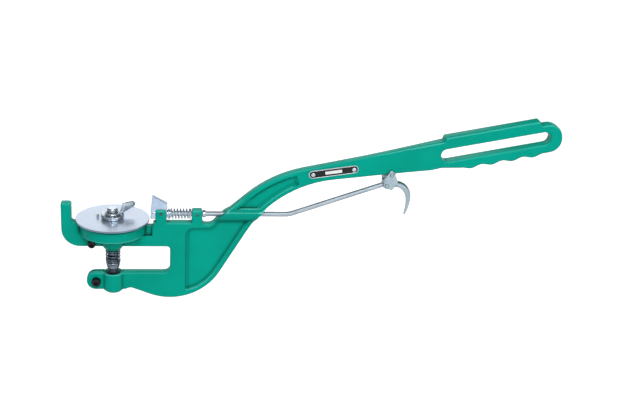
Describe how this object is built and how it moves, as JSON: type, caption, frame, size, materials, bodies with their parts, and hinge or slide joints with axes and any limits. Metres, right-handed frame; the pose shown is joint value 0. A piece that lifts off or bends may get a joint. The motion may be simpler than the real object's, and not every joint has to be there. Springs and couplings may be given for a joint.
{
  "type": "strapping tensioner hand tool",
  "caption": "Hand tool with a C-shaped cast head, a spring-set disc with a thumb nut, a sliding latch pulled by a finger trigger, and a slotted grip.",
  "frame": {"origin": "middle of the grip slot", "axes": "+X along the tool from the hook to the grip's end, +Y through the plate from the nameplate face to the back, +Z along the spindle towards the thumb nut"},
  "size_m": [0.5473, 0.08, 0.2148],
  "materials": {
    "green_paint": "smooth sea-green enamel over a casting",
    "disc_zinc": "satin zinc plate",
    "spring_steel": "dark spring wire",
    "zinc_plate": "bright zinc plate",
    "sleeve_bronze": "plain bearing bronze",
    "nut_zinc": "bright zinc plate",
    "seat_steel": "grey turned steel",
    "pinch_screw_black": "black oxide",
    "arm_screw_black": "black oxide",
    "latch_zinc": "zinc plate",
    "pin_steel": "ground steel",
    "bright_spring": "bright spring wire",
    "rod_zinc": "bright drawn rod",
    "collar_steel": "dark steel",
    "grub_black": "black oxide",
    "bush_bronze": "plain bearing bronze",
    "trigger_zinc": "cast and plated, dull",
    "trigger_pin_steel": "ground steel",
    "plate_black": "black field, plated rim, blank",
    "rivet_zinc": "zinc plate"
  },
  "bodies": {
    "frame": {"frame_casting": "green_paint", "spindle_stud": "zinc_plate", "spindle_spring": "spring_steel", "spring_seat": "seat_steel", "pinch_screw": "pinch_screw_black", "arm_screw": "arm_screw_black", "latch_guide_pin": "pin_steel", "latch_spring": "bright_spring", "rod_bush": "bush_bronze", "bush_lock_pin": "pin_steel", "trigger_pivot_pin": "trigger_pin_steel", "nameplate": "plate_black", "nameplate_rivet_left": "rivet_zinc", "nameplate_rivet_right": "rivet_zinc"},
    "sleeve": {"disc_sleeve": "sleeve_bronze", "nut_washer": "zinc_plate"},
    "disc": {"clamp_disc": "disc_zinc", "disc_pin": "spring_steel"},
    "nut": {"thumb_nut": "nut_zinc"},
    "latch": {"latch_bolt": "latch_zinc", "pull_rod": "rod_zinc", "rod_collar": "collar_steel", "collar_screw": "grub_black"},
    "trigger_body": {"trigger": "trigger_zinc", "rod_pin": "trigger_pin_steel"}
  },
  "joints": [
    {"name": "disc_lift", "type": "slide", "parent": "frame", "child": "sleeve", "axis": [0, 0, 1], "range_m": [0, 0.0035], "deforming": ["spindle_spring"]},
    {"name": "nut_turn", "type": "hinge", "parent": "sleeve", "child": "nut", "pos_m": [-0.418, 0, -0.08975], "axis": [0, 0, 1], "range_deg": [0, 721]},
    {"name": "disc_turn", "type": "hinge", "parent": "sleeve", "child": "disc", "pos_m": [-0.418, 0, -0.08975], "axis": [0, 0, 1], "continuous": true},
    {"name": "trigger_pull", "type": "hinge", "parent": "frame", "child": "trigger_body", "pos_m": [-0.1141, 0, -0.03435], "axis": [0, -1, 0], "range_deg": [0, 30.1]},
    {"name": "latch_slide", "type": "slide", "parent": "frame", "child": "latch", "axis": [1, 0, 0], "range_m": [0, 0.0067], "stiffness_N_per_m": 1200, "springref_m": -0.005, "deforming": ["latch_spring"]}
  ],
  "couplings": [
    {"joint": "nut_turn", "follows": "disc_lift", "rad_per_m": 3590.4},
    {"joint": "trigger_pull", "follows": "latch_slide", "rad_per_m": 78.229}
  ]
}
